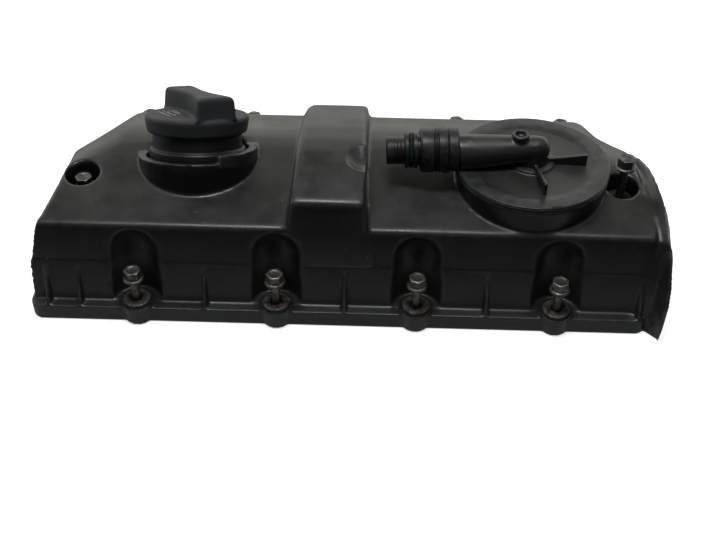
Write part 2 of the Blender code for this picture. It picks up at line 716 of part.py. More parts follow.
def filler_cap():
    """A skirted cap with an inner plug and a bow-tie grip."""
    outline = [(22.6 * MM, 10 * MM), (24.2 * MM, 10 * MM), (24.2 * MM, 24.6 * MM), (29.4 * MM, 24.6 * MM),
               (29.4 * MM, SKIRT_LOW + 1 * MM), (29.8 * MM, SKIRT_LOW), (SKIRT_LOW_R - 0.8 * MM, SKIRT_LOW),
               (SKIRT_LOW_R, SKIRT_LOW + 0.8 * MM), (SKIRT_HIGH_R, SKIRT_HIGH - 2.6 * MM),
               (SKIRT_HIGH_R - 0.9 * MM, SKIRT_HIGH - 0.7 * MM), (SKIRT_HIGH_R - 2.8 * MM, SKIRT_HIGH),
               (0, SKIRT_HIGH + 0.6 * MM), (0, 24.6 * MM), (22.6 * MM, 24.6 * MM)]
    cap = turned("filler_cap", outline, 36)
    end = GRIP_LENGTH / 2
    waist = [(-end, 10.5 * MM), (-0.45 * end, 8.2 * MM), (0, 7.4 * MM), (0.45 * end, 8.6 * MM),
             (end, 13 * MM)]
    plan = [(x, -half) for x, half in waist] + [(x, half) for x, half in reversed(waist)]
    low = [(x, y, SKIRT_HIGH - 1.2 * MM) for x, y in plan]
    top = [(0.98 * x, 0.9 * y, SKIRT_HIGH + GRIP_H - 1.2 * MM) for x, y in plan]
    crest = [(0.95 * x, 0.75 * y, SKIRT_HIGH + GRIP_H) for x, y in plan]
    grip = loft("grip", [low, top, crest], Matrix.Rotation(GRIP_ANGLE + math.pi, 4, "Z"))
    return finish(join(cap, grip), "cap_plastic")


# ---------------------------------------------------------------- breather valve

def breather_lid():
    """The drum's lid with its outlet pipe, fins, test port and inner valve seat."""
    centre = DRUM_PLACE
    disc = [(0, LID_BOTTOM), (LID_R, LID_BOTTOM), (LID_R, LID_TOP - 0.4 * MM), (LID_R - 0.6 * MM, LID_TOP),
            (DISH_R + 1.5 * MM, LID_TOP), (DISH_R, DISH_Z), (14.5 * MM, DISH_Z),
            (13.2 * MM, DISH_Z + 1.8 * MM), (0, DISH_Z + 1.8 * MM)]
    lid = turned("breather_lid", disc, 40, centre)
    join(lid, cylinder("seat_tube", SEAT_TUBE_R, SEAT_TUBE_Z, LID_TOP - 0.5 * MM, 16, centre))
    pipe_place = along(PIPE_START, PIPE_END)
    riser = [(0, 80 * MM), (9.6 * MM, 80 * MM), (8.6 * MM, 95 * MM), (6 * MM, 100.5 * MM), (0, 102 * MM)]
    join(lid, turned("riser", riser, 16, centre))
    pipe = [(0, -4.4 * MM), (4.5 * MM, -3.6 * MM), (7.0 * MM, -0.8 * MM), (PIPE_ELBOW_R, 3 * MM),
            (PIPE_MOUTH_R, PIPE_TAPER_END), (PIPE_NOSE_R, PIPE_TAPER_END), (PIPE_NOSE_R, PIPE_NOSE_END),
            (0, PIPE_NOSE_END)]
    join(lid, turned("pipe", pipe, 18, pipe_place))
    port = Matrix.Translation((105.2 * MM, DRUM_Y - 0.6 * MM, 0))
    join(lid, cylinder("port", 5.2 * MM, 95 * MM, 105.6 * MM, 14, port))
    for angle, reach in ((math.radians(-3), 34 * MM), (math.radians(-82), 34.4 * MM)):
        join(lid, fin(centre @ Matrix.Rotation(angle, 4, "Z"), reach))
    cut(lid, cylinder("port_hole", 3.5 * MM, 101 * MM, 110 * MM, 12, port))
    cut(lid, cylinder("duct", DUCT_R, 6 * MM, PIPE_NOSE_END + 1 * MM, 14, pipe_place))
    cut(lid, cylinder("valve_bore", DUCT_R + 0.2 * MM, 70 * MM, 95.5 * MM, 14, centre))
    return finish(lid, "cover_plastic")


def fin(place, reach):
    """A thin rib that starts low at the boss and is tallest at its outer end."""
    outline = [(8 * MM, DISH_Z - 0.8 * MM), (reach, DISH_Z - 0.8 * MM), (reach, DISH_Z + 8 * MM),
               (8 * MM, DISH_Z + 3.2 * MM)]
    half = 1.2 * MM
    return loft("fin", [[(x, side * half, z) for x, z in outline] for side in (-1, 1)], place)


def diaphragm():
    """The rolling rubber disc: a bead under the lid, one convolution and a flat centre."""
    top = [(21, 70.4), (24, 70.6), (27, 72.6), (30, 76.0), (34, 78.4), (38, 78.2), (40.4, 79.6),
           (41.4, 81.0), (42.4, 82.0), (44.6, 82.0)]
    bottom = [(44.6, 79.7), (41.4, 79.7), (38.3, 76.9), (34, 77.0), (31, 74.8), (28.2, 71.6), (25, 69.4),
              (4, 69.2), (4, 70.4)]
    outline = scaled(top + bottom)
    obj = turned("diaphragm", outline, 24, DRUM_PLACE)
    return finish(obj, "black_rubber")


def diaphragm_plate():
    low = PLATE_TOP - PLATE_T
    rim = PLATE_TOP + 1 * MM
    outline = [(0, low), (PLATE_R, low), (PLATE_R, rim), (PLATE_R - 1 * MM, rim),
               (PLATE_R - 1 * MM, PLATE_TOP), (0, PLATE_TOP)]
    obj = turned("diaphragm_plate", outline, 20, DRUM_PLACE)
    return finish(obj, "connector_plastic")


def regulator_spring():
    """A wire coil round the seat tube, between the plate and the lid."""
    turns = 4
    steps = 11 * turns
    sides = 5
    wire_r = 0.7 * MM
    coil_r = 13.6 * MM
    low = PLATE_TOP + GAP + wire_r
    high = LID_BOTTOM - GAP - wire_r
    rings = []
    for i in range(steps + 1):
        t = i / steps
        a = 2 * math.pi * turns * t
        radial = Vector((math.cos(a), math.sin(a), 0))
        centre = radial * coil_r + Vector((0, 0, low + (high - low) * t))
        rings.append([centre + wire_r * (math.cos(b) * radial + math.sin(b) * Vector((0, 0, 1)))
                      for b in [2 * math.pi * k / sides for k in range(sides)]])
    obj = loft("regulator_spring", rings, DRUM_PLACE)
    return finish(obj, "spring_steel")


def quick_connector():
    """The coupling on the pipe: a ribbed sleeve, two seal lands and an open spigot."""
    length = (PIPE_END - PIPE_START).length
    start = PIPE_TAPER_END + 4 * MM
    sleeve_end = start + 20.5 * MM
    bore = PIPE_NOSE_R + GAP
    outline = [(bore, start), (12.9 * MM, start), (13.4 * MM, start + 1 * MM)]
    for k in range(2):
        rib = start + (7 + 5 * k) * MM
        outline += [(13.4 * MM, rib), (12.4 * MM, rib + 0.5 * MM), (12.4 * MM, rib + 1.6 * MM),
                    (13.4 * MM, rib + 2.1 * MM)]
    lands = scaled([(13.4, -1), (12.4, 0), (9.4, 0), (9.4, 1.5), (11.1, 1.5), (11.1, 4), (8.8, 4), (8.8, 7),
                    (11.1, 7), (11.1, 9.2), (8.5, 9.6)])
    outline += [(r, sleeve_end + t) for r, t in lands]
    outline += [(8.5 * MM, length - 0.8 * MM), (7.9 * MM, length), (6.4 * MM, length),
                (6.4 * MM, PIPE_NOSE_END + 1 * MM), (bore, PIPE_NOSE_END + 1 * MM)]
    place = along(PIPE_START, PIPE_END)
    finish(turned("quick_connector", outline, 24, place), "connector_plastic")
    groove = sleeve_end + 5.5 * MM
    section = scaled([(9.1, -1.1), (10.4, -1.1), (11, 0), (10.4, 1.1), (9.1, 1.1)])
    ring = [(r, groove + t) for r, t in section]
    return finish(turned("connector_o_ring", ring, 20, place), "green_rubber")


def baffle():
    outline = rounded_rectangle(64 * MM, 153 * MM, -63 * MM, 38 * MM, 6 * MM, 6 * MM, 3)
    plate = prism("baffle_plate", outline, BAFFLE_Z, BAFFLE_Z + BAFFLE_T)
    for x, y in BAFFLE_SCREWS:
        cut(plate, cylinder("hole", 2.2 * MM, 50 * MM, 60 * MM, 12, at(x, y)))
    for x in (90 * MM, 114 * MM, 138 * MM):
        cut(plate, cylinder("drain", 5 * MM, 50 * MM, 60 * MM, 14, at(x, 12 * MM)))
    finish(plate, "connector_plastic")
    top = BAFFLE_Z + 7 * MM
    outline = [(0, BAFFLE_Z - 2.4 * MM), (3.6 * MM, BAFFLE_Z - 2.4 * MM), (3.6 * MM, BAFFLE_Z - GAP),
               (1.6 * MM, BAFFLE_Z - GAP), (1.6 * MM, top - 1 * MM), (0, top)]
    for i, (x, y) in enumerate(BAFFLE_SCREWS):
        screw = turned(f"baffle_screw_{i + 1}", outline, 12, at(x, y))
        finish(screw, "spring_steel")


def main():
    clear_scene()
    for name in MATERIALS:
        make_material(name)
    cover_shell()
    perimeter_gasket()
    fasteners()
    filler()
    breather_lid()
    diaphragm()
    diaphragm_plate()
    regulator_spring()
    quick_connector()
    baffle()


main()
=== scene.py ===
"""The finished look of the engine valve cover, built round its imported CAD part.

Lengths are metres in the row frame: z = 0 is the sealing face, -Y is the front bolt row.
"""

import math

import bmesh
import bpy
import numpy as np
from mathutils import Matrix, Vector


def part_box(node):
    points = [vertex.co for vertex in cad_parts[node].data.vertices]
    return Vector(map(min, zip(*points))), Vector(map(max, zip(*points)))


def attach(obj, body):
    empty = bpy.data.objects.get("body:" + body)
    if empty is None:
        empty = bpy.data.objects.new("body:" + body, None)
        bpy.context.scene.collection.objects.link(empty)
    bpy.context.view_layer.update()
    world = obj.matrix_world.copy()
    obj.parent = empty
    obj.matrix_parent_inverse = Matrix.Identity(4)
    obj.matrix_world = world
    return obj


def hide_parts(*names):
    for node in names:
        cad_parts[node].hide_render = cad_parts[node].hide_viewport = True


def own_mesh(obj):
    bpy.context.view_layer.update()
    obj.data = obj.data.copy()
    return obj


MM = 0.001
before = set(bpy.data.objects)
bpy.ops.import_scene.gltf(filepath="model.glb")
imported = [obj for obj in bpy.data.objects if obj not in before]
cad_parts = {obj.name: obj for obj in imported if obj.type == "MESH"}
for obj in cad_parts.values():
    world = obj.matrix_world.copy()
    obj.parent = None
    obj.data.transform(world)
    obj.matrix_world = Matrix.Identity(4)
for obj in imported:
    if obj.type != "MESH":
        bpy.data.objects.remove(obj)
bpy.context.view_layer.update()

# Places that the looks share with the part.
DRUM_X = 114.4
DRUM_Y = -27.35
PIPE_START = Vector((120, -27.35, 95))
PIPE_END = Vector((22.8, -31.3, 93))
PIPE_MOUTH = Vector((68, -29.5, 91.3))
RIM = Vector((-98.0, -15.9, 76.3))
TILT = math.radians(24.3)
ROW_BOLTS = [(x, -88) for x in (-132, -44, 44, 132)] + [(x, 88) for x in (-152, -75, 0, 75, 152)]
END_BOLTS = ((-170, -32), (172, -32))

BOLT_HEAD_H = 7.4

# The camera stands in front of the cover and looks down on it.
CAMERA_PLACE = Vector((18.14, -568.9, 468.88))
CAMERA_YAW = math.radians(1.13)
CAMERA_PITCH = math.radians(41.48)
CAMERA_ROLL = math.radians(0.76)
CAMERA_LENS = 52.5


# ---------------------------------------------------------------- node helpers

def add(tree, kind, settings=None, **inputs):
    """Add a shader node, set its options, and link or fill its inputs."""
    made = tree.nodes.new("ShaderNode" + kind)
    for key, value in (settings or {}).items():
        setattr(made, key, value)
    for key, value in inputs.items():
        plug(tree, made.inputs[key.replace("_", " ")], value)
    return made


def plug(tree, socket, value):
    if isinstance(value, bpy.types.NodeSocket):
        tree.links.new(value, socket)
    else:
        socket.default_value = value


def maths(tree, operation, a, b=0.0):
    made = tree.nodes.new("ShaderNodeMath")
    made.operation = operation
    plug(tree, made.inputs[0], a)
    plug(tree, made.inputs[1], b)
    return made.outputs[0]


def remap(tree, value, low, high, out_low=0.0, out_high=1.0):
    made = add(tree, "MapRange", Value=value)
    for index, number in ((1, low), (2, high), (3, out_low), (4, out_high)):
        plug(tree, made.inputs[index], number)
    return made.outputs[0]


def mix(tree, share, a, b):
    made = tree.nodes.new("ShaderNodeMix")
    made.data_type = "RGBA"
    plug(tree, made.inputs[0], share)
    plug(tree, made.inputs[6], a)
    plug(tree, made.inputs[7], b)
    return made.outputs[2]


def clouds(tree, coords, scale, detail=3.0, roughness=0.55):
    made = add(tree, "TexNoise", Vector=coords, Scale=scale, Detail=detail, Roughness=roughness)
    return made.outputs[0]


def stretched(tree, coords, scale, turn=(0, 0, 0)):
    made = add(tree, "Mapping", Vector=coords, Scale=scale, Rotation=turn)
    return made.outputs[0]


def grey(level, tint=(1, 1, 1)):
    return (level * tint[0], level * tint[1], level * tint[2], 1.0)


def start(name, metallic=0.0, specular=0.5):
    """A new material with its tree, its shader and its object coordinates."""
    made = bpy.data.materials.new(name)
    made.use_nodes = True
    tree = made.node_tree
    shader = tree.nodes["Principled BSDF"]
    shader.inputs["Metallic"].default_value = metallic
    shader.inputs["Specular IOR Level"].default_value = specular
    coords = tree.nodes.new("ShaderNodeTexCoord").outputs["Object"]
    return made, tree, shader, coords


def bump(tree, height, distance, strength=1.0, under=None):
    made = add(tree, "Bump", Height=height, Distance=distance, Strength=strength)
    if under is not None:
        tree.links.new(under, made.inputs["Normal"])
    return made.outputs[0]


# ---------------------------------------------------------------- materials

def moulded(name, base, dust_and_light_colour, rough, grain, specular, dust_and_light_strength, scratched, speckled, splash_and_bounce_light=0.0):
    """Moulded nylon or polymer: grain, a pale layer on level faces that is partly dust and partly painted
    top light, hairline scratches, specks, and convex edges lightened bluish, partly wear and partly a
    painted sheen.

    The last four arguments are strengths from 0 to 1: the pale layer, the scratches, the specks and the
    lower walls. The pale layer is thin on the flange and on the lid's rim, and the lower walls are lighter,
    partly splashed dirt and partly a painted floor bounce.
    """
    made, tree, shader, coords = start(name, 0.0, specular)
    mottled = clouds(tree, coords, 38, 5, 0.6)
    fine = clouds(tree, coords, 420, 3)
    pores = clouds(tree, coords, 1500, 2)
    up = add(tree, "NewGeometry").outputs["Normal"]
    level = remap(tree, add(tree, "SeparateXYZ", Vector=up).outputs[2], 0.35, 0.95)
    # Partly dust, partly painted top light: the pale colour lies on faces that look up.
    dust_and_painted_light = maths(tree, "MULTIPLY", level, remap(tree, mottled, 0.35, 0.72, 0.25, 1.0))
    dust_and_painted_light = maths(tree, "MULTIPLY", dust_and_painted_light, remap(tree, fine, 0.3, 0.7, 0.55, 1.0))
    dust_and_painted_light = maths(tree, "MULTIPLY", dust_and_painted_light, dust_and_light_strength)
    height = add(tree, "SeparateXYZ", Vector=coords).outputs[2]
    dust_and_painted_light = maths(tree, "MULTIPLY", dust_and_painted_light, remap(tree, height, 0.012, 0.020, 0.25, 1.0))
    # Lower walls below 37 mm are made lighter, most on upright faces: partly splashed dirt, partly a painted
    # floor bounce.
    low = remap(tree, height, 0.0365, 0.0375, splash_and_bounce_light, 0.0)
    low = maths(tree, "MULTIPLY", low, remap(tree, level, 0.0, 1.0, 1.0, 0.2))
    low = maths(tree, "MULTIPLY", low, remap(tree, mottled, 0.3, 0.7, 0.6, 1.0))
    dust_and_painted_light = maths(tree, "MAXIMUM", dust_and_painted_light, low)
    flat = stretched(tree, coords, (1, 1, 0))
    middle = add(tree, "VectorMath", {"operation": "DISTANCE"}, Vector=flat)
    middle.inputs[1].default_value = (DRUM_X * MM, DRUM_Y * MM, 0)
    ragged = maths(tree, "ADD", middle.outputs["Value"], remap(tree, mottled, 0.3, 0.7, -0.0012, 0.0012))
    rim = remap(tree, ragged, 0.0368, 0.0394, 1.25, 0.75)
    high = remap(tree, height, 0.0830, 0.0838)
    within = maths(tree, "MULTIPLY", high, remap(tree, middle.outputs["Value"], 0.0495, 0.0505, 1.0, 0.0))
    share = maths(tree, "ADD", maths(tree, "MULTIPLY", within, rim), maths(tree, "SUBTRACT", 1.0, within))
    dust_and_painted_light = maths(tree, "MULTIPLY", dust_and_painted_light, share)
    colour = mix(tree, dust_and_painted_light, base, dust_and_light_colour)

    lines = clouds(tree, stretched(tree, coords, (14, 90, 60), (0.2, 0.1, 0.5)), 3.0, 2)
    hair = remap(tree, maths(tree, "ABSOLUTE", maths(tree, "SUBTRACT", lines, 0.5)), 0.0, 0.0035, 1.0, 0.0)
    patches = remap(tree, clouds(tree, coords, 21, 2), 0.52, 0.66)
    hair = maths(tree, "MULTIPLY", maths(tree, "MULTIPLY", hair, patches), scratched)
    colour = mix(tree, maths(tree, "MULTIPLY", hair, 0.55), colour, grey(0.085))

    dots = add(tree, "TexVoronoi", Vector=coords, Scale=150.0)
    spot = remap(tree, dots.outputs["Distance"], 0.05, 0.11, 1.0, 0.0)
    chosen = remap(tree, add(tree, "SeparateXYZ", Vector=dots.outputs["Color"]).outputs[0], 0.80, 0.82)
    spot = maths(tree, "MULTIPLY", maths(tree, "MULTIPLY", spot, chosen), speckled)
    oily = remap(tree, add(tree, "SeparateXYZ", Vector=dots.outputs["Color"]).outputs[1], 0.35, 0.4)
    colour = mix(tree, spot, colour, mix(tree, oily, grey(0.12, (1, 0.96, 0.88)), grey(0.003)))

    edge = add(tree, "Attribute", {"attribute_name": "edge"}).outputs["Fac"]
    # Convex edges lightened towards a bluish grey: partly wear, partly a painted sheen.
    worn = maths(tree, "MULTIPLY", edge, remap(tree, clouds(tree, coords, 170, 4), 0.38, 0.62))
    colour = mix(tree, maths(tree, "MULTIPLY", worn, 0.45), colour, grey(0.07, (0.93, 0.98, 1.06)))
    shader.inputs["Base Color"].default_value = base
    tree.links.new(colour, shader.inputs["Base Color"])

    shine = remap(tree, mottled, 0.3, 0.7, rough - 0.07, rough + 0.09)
    shine = maths(tree, "ADD", shine, maths(tree, "MULTIPLY", dust_and_painted_light, 0.10))
    shine = maths(tree, "SUBTRACT", shine, maths(tree, "MULTIPLY", hair, 0.12))
    tree.links.new(shine, shader.inputs["Roughness"])
    skin = bump(tree, pores, 0.05 * MM, grain)
    skin = bump(tree, fine, 0.10 * MM, 0.35 * grain, skin)
    skin = bump(tree, hair, 0.04 * MM, 0.5, skin)
    tree.links.new(skin, shader.inputs["Normal"])
    return made


def rubber(name, base, worn):
    """Matte rubber with a dusty bloom."""
    made, tree, shader, coords = start(name, 0.0, 0.3)
    bloom = clouds(tree, coords, 210, 5, 0.65)
    colour = mix(tree, remap(tree, bloom, 0.42, 0.75), base, worn)
    tree.links.new(colour, shader.inputs["Base Color"])
    tree.links.new(remap(tree, bloom, 0.3, 0.7, 0.68, 0.9), shader.inputs["Roughness"])
    tree.links.new(bump(tree, clouds(tree, coords, 1700, 2), 0.06 * MM, 0.6), shader.inputs["Normal"])
    return made


def steel(name, bright, dull, rust, rusty, rough=0.4):
    """Plated steel: brushed sheen, dull oxide patches, and rust where the plating has gone."""
    made, tree, shader, coords = start(name, 1.0)
    patches = clouds(tree, coords, 240, 5, 0.62)
    spots = clouds(tree, coords, 620, 4, 0.6)
    oxide = remap(tree, patches, 0.36, 0.62)
    edge = add(tree, "Attribute", {"attribute_name": "edge"}).outputs["Fac"]
    colour = mix(tree, oxide, bright, dull)
    colour = mix(tree, maths(tree, "MULTIPLY", edge, 0.5), colour, bright)
    pitted = maths(tree, "MULTIPLY", maths(tree, "ADD", patches, spots), 0.5)
    eaten = remap(tree, pitted, 0.62 - 0.2 * rusty, 0.72 - 0.2 * rusty)
    colour = mix(tree, eaten, colour, rust)
    tree.links.new(colour, shader.inputs["Base Color"])
    tree.links.new(remap(tree, eaten, 0.0, 1.0, 1.0, 0.15), shader.inputs["Metallic"])
    shine = remap(tree, oxide, 0, 1, rough, rough + 0.2)
    shine = maths(tree, "ADD", shine, maths(tree, "MULTIPLY", eaten, 0.25))
    tree.links.new(shine, shader.inputs["Roughness"])
    brushed = clouds(tree, stretched(tree, coords, (1, 1, 9)), 900, 2)
    skin = bump(tree, brushed, 0.03 * MM, 0.5)
    skin = bump(tree, spots, 0.08 * MM, 0.5, skin)
    tree.links.new(skin, shader.inputs["Normal"])
    return made


def paint_print():
    """Thin off-white printing, worn through in places."""
    made, tree, shader, coords = start("printed_white", 0.0, 0.3)
    gone = remap(tree, clouds(tree, coords, 700, 4, 0.7), 0.46, 0.6)
    tree.links.new(mix(tree, gone, grey(0.42, (1, 1, 0.97)), grey(0.06)), shader.inputs["Base Color"])
    shader.inputs["Roughness"].default_value = 0.6
    return made


LOOKS = {
    "cover_plastic": moulded("cover_nylon", grey(0.0105, (1.02, 1, 1)), grey(0.034, (1.01, 1.02, 0.89)),
                             0.34, 0.55, 0.45, 0.75, 0.6, 0.8, 0.32),
    "cap_plastic": moulded("cap_nylon", grey(0.021, (0.93, 0.99, 1.12)), grey(0.036, (1, 1, 0.96)),
                           0.56, 0.8, 0.35, 0.5, 0.25, 0.15),
    "connector_plastic": moulded("connector_polymer", grey(0.0065), grey(0.018, (1.02, 1, 0.93)), 0.40, 0.4,
                                 0.30, 0.5, 0.4, 0.25),
    "black_rubber": rubber("rubber_black", grey(0.012), grey(0.03, (1.05, 1, 0.92))),
    "green_rubber": rubber("rubber_green", (0.003, 0.011, 0.008, 1), (0.008, 0.022, 0.016, 1)),
    "bolt_steel": steel("bolt_zinc", grey(0.19, (1, 0.96, 0.88)), grey(0.065, (1, 0.92, 0.80)),
                        (0.05, 0.027, 0.015, 1), 0.3),
    "washer_steel": steel("washer_rusty", grey(0.17, (1, 0.96, 0.90)), grey(0.05, (1, 0.88, 0.74)),
                          (0.030, 0.013, 0.007, 1), 0.8, 0.5),
    "spring_steel": steel("spring_bright", grey(0.62), grey(0.36), (0.12, 0.07, 0.04, 1), 0.0, 0.28),
    "black_steel": steel("bolt_black", grey(0.16), grey(0.045), (0.06, 0.035, 0.02, 1), 0.1, 0.42),
}
PRINT = paint_print()


# ---------------------------------------------------------------- mesh helpers

def made_from(name, bm):
    bmesh.ops.recalc_face_normals(bm, faces=bm.faces)
    mesh = bpy.data.meshes.new(name)
    bm.to_mesh(mesh)
    bm.free()
    obj = bpy.data.objects.new(name, mesh)
    bpy.context.scene.collection.objects.link(obj)
    return obj


def skin(name, rows, wrap_rows=False, hubs=None):
    """Skin rows of points, each a closed ring, and close both ends with a hub point."""
    bm = bmesh.new()
    grid = [[bm.verts.new(p) for p in row] for row in rows]
    count = len(grid[0])
    pairs = list(zip(grid, grid[1:]))
    if wrap_rows:
        pairs.append((grid[-1], grid[0]))
    for low, high in pairs:
        for i in range(count):
            j = (i + 1) % count
            bm.faces.new((low[i], low[j], high[j], high[i]))
    if not wrap_rows:
        for k, row in enumerate((grid[0], grid[-1])):
            middle = sum((v.co for v in row), Vector()) / count
            hub = bm.verts.new(hubs[k] if hubs else middle)
            for i in range(count):
                bm.faces.new((row[i], row[(i + 1) % count], hub))
    return made_from(name, bm)


def rounded(outline, radius, steps=3):
    """Round the corners of a closed outline, each by no more than its sides allow."""
    result = []
    count = len(outline)
    for i, point in enumerate(outline):
        p = Vector(point)
        a = Vector(outline[i - 1]) - p
        b = Vector(outline[(i + 1) % count]) - p
        straight = a.length < 1e-9 or b.length < 1e-9 or a.angle(b) > math.radians(168)
        if p.x < 1e-6 or straight:
            result.append(tuple(p))
            continue
        reach = min(radius, 0.42 * a.length, 0.42 * b.length)
        first = p + a.normalized() * reach
        last = p + b.normalized() * reach
        for k in range(steps + 1):
            t = k / steps
            result.append(tuple(first * (1 - t) ** 2 + p * 2 * t * (1 - t) + last * t ** 2))
    return result


def turned(name, outline, segments=96, place=None, radius=0.25):
    """Revolve a (radius, height) outline in millimetres round the local Z axis.

    An outline that meets the axis starts and ends on it, and is closed there by a hub point.
    """
    on_axis = [i for i, (r, _) in enumerate(outline) if r < 1e-6]
    if on_axis:
        shift = on_axis[-1] if len(on_axis) == 2 and on_axis[1] - on_axis[0] == 1 else 0
        outline = outline[shift:] + outline[:shift]
    outline = rounded(outline, radius)
    hubs = None
    if on_axis:
        hubs = [Vector((0, 0, outline[k][1] * MM)) for k in (0, -1)]
        outline = outline[1:-1]
    angles = [2 * math.pi * i / segments for i in range(segments)]
    rows = [[(r * MM * math.cos(a), r * MM * math.sin(a), z * MM) for a in angles] for r, z in outline]
    obj = skin(name, rows, wrap_rows=not on_axis, hubs=hubs)
    if place is not None:
        obj.data.transform(place)
    return obj


def placed(x=0, y=0, z=0):
    return Matrix.Translation((x * MM, y * MM, z * MM))


def filler_place():
    return Matrix.Translation(RIM * MM) @ Matrix.Rotation(-TILT, 4, "X")


def pipe_place(end=PIPE_END):
    """A frame at the elbow whose Z axis runs down the pipe."""
    direction = (end - PIPE_START).normalized()
    turn = direction.to_track_quat("Z", "Y").to_matrix().to_4x4()
    return Matrix.Translation(PIPE_START * MM) @ turn


def bake(obj):
    """Apply an object's modifiers."""
    depsgraph = bpy.context.evaluated_depsgraph_get()
    mesh = bpy.data.meshes.new_from_object(obj.evaluated_get(depsgraph))
    obj.modifiers.clear()
    obj.data = mesh
    return obj


def fuse(target, tool, operation="UNION"):
    modifier = target.modifiers.new("fuse", "BOOLEAN")
    modifier.operation = operation
    modifier.solver = "MANIFOLD"
    modifier.object = tool
    bake(target)
    bpy.data.objects.remove(tool)
    return target


def remesh(obj, voxel):
    modifier = obj.modifiers.new("remesh", "REMESH")
    modifier.mode = "VOXEL"
    modifier.voxel_size = voxel * MM
    return bake(obj)


def points_of(mesh):
    flat = np.empty(len(mesh.vertices) * 3, np.float32)
    mesh.vertices.foreach_get("co", flat)
    return flat.reshape(-1, 3).astype(float)


def neighbour_mean(mesh):
    """A function that gives each vertex the mean of its neighbours' values."""
    count = len(mesh.vertices)
    flat = np.empty(len(mesh.edges) * 2, np.int32)
    mesh.edges.foreach_get("vertices", flat)
    a, b = flat.reshape(-1, 2).T
    degree = np.maximum(np.bincount(a, minlength=count) + np.bincount(b, minlength=count), 1)

    def mean(values):
        columns = [np.bincount(a, values[b, k], count) + np.bincount(b, values[a, k], count)
                   for k in range(values.shape[1])]
        return np.stack(columns, 1) / degree[:, None]

    return mean


def relax(obj, weights, rounds):
    """Melt a mesh towards its neighbours' mean, more where the weights are higher."""
    mean = neighbour_mean(obj.data)
    points = points_of(obj.data)
    for _ in range(rounds):
        points += weights[:, None] * (mean(points) - points)
    obj.data.vertices.foreach_set("co", points.astype(np.float32).ravel())
    obj.data.update()


def mark_edges(obj, full_at):
    """Store how sharply convex each vertex is, for the colour of edges: wear, and on moulded parts also a
    painted sheen. full_at is a curvature in 1/mm.
    """
    mesh = obj.data
    mean = neighbour_mean(mesh)
    points = points_of(mesh) / MM
    flat = np.empty(len(mesh.vertices) * 3, np.float32)
    mesh.vertices.foreach_get("normal", flat)
    normals = flat.reshape(-1, 3).astype(float)
    offset = mean(points) - points
    ends = np.empty(len(mesh.edges) * 2, np.int32)
    mesh.edges.foreach_get("vertices", ends)
    a, b = ends.reshape(-1, 2).T
    spacing = float(np.median(np.linalg.norm(points[a] - points[b], axis=1)))
    curve = -np.sum(offset * normals, axis=1) / spacing ** 2
    values = np.clip(curve / full_at, 0, 1)[:, None]
    for _ in range(3):
        values = 0.5 * values + 0.5 * mean(values)
    attribute = mesh.attributes.new("edge", "FLOAT", "POINT")
    attribute.data.foreach_set("value", values[:, 0].astype(np.float32))


def step(value, low, high):
    """A smooth step from 0 at low to 1 at high."""
    t = np.clip((value - low) / (high - low), 0, 1)
    return t * t * (3 - 2 * t)


def dressed(obj, slot, body, *nodes, sharp=40):
    """Give a piece its look and its body, and let it stand for CAD nodes."""
    obj.data.materials.clear()
    obj.data.materials.append(LOOKS[slot])
    obj.data.polygons.foreach_set("material_index", [0] * len(obj.data.polygons))
    obj.data.shade_smooth()
    if sharp:
        obj.data.set_sharp_from_angle(angle=math.radians(sharp))
    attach(obj, body)
    if nodes:
        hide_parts(*nodes)
    return obj


# ---------------------------------------------------------------- cover moulding

def cover_weights(points):
    """How much each part of the moulding melts: fillets on top, crisp flange, ribs and rims."""
    x, y, z = (points / MM).T
    weight = np.full(len(x), 0.07)
    top = step(z, 60, 66) * step(y, -73.5, -68)
    weight = np.maximum(weight, 0.9 * top)
    edge = step(z, 58, 62) * (1 - step(y, -73.5, -68))
    weight = np.maximum(weight, 0.45 * edge)
    rear = step(y, 20, 40) * step(z, 24, 34)
    weight = np.maximum(weight, 0.9 * rear)
    hump = step(x, -44, -36) * (1 - step(x, 10, 20)) * step(z, 44, 56)
    weight = np.maximum(weight, 0.8 * hump)
    for cx, cy in ROW_BOLTS:
        reach = np.hypot(x - cx, y - cy)
        recess = (1 - step(reach, 19, 24)) * step(z, 17, 24) * step(reach, 10.5, 12)
        weight = np.maximum(weight, 0.8 * recess)
    scoop = 1 - step(np.hypot(x - 10.5, y + 39.5), 14.5, 18)
    weight = np.minimum(weight, 1 - 0.93 * scoop)
    radial = np.hypot(x - DRUM_X, y - DRUM_Y)
    wall = (1 - step(radial, 52, 57)) * step(z, 62, 66)
    weight = np.minimum(weight, 1 - 0.93 * wall)
    rim = step(z, 76.5, 78.5) * (1 - step(radial, 50, 52))
    weight = np.minimum(weight, 1 - 0.95 * rim)
    inverse = filler_place().inverted()
    local = np.array(inverse.to_3x3()) @ points.T + np.array(inverse.translation)[:, None]
    lz = local[2] / MM
    near = 1 - step(np.hypot(x - RIM.x, y - RIM.y), 39, 42)
    weight = np.minimum(weight, 1 - 0.75 * near)
    weight = np.minimum(weight, 1 - 0.94 * near * step(lz, -9, -5))
    for cx, cy in END_BOLTS:
        reach = np.hypot(x - cx, y - cy)
        weight = np.minimum(weight, 1 - 0.6 * (1 - step(reach, 13, 17)))
    weight = np.where(x > 187, np.minimum(weight, 0.35), weight)
    return weight


def boss_cups():
    """The tapered bosses under the row bolts, each with a low wall round its washer seat."""
    outline = [(7.4, 0.05), (9.0, 0.05), (9.5, 9.5), (10.0, 13.9), (9.2, 14.2), (9.05, 13.2), (8.95, 11.2),
               (7.4, 11.2)]
    return [turned("cup", outline, 64, placed(x, y), 0.3) for x, y in ROW_BOLTS]


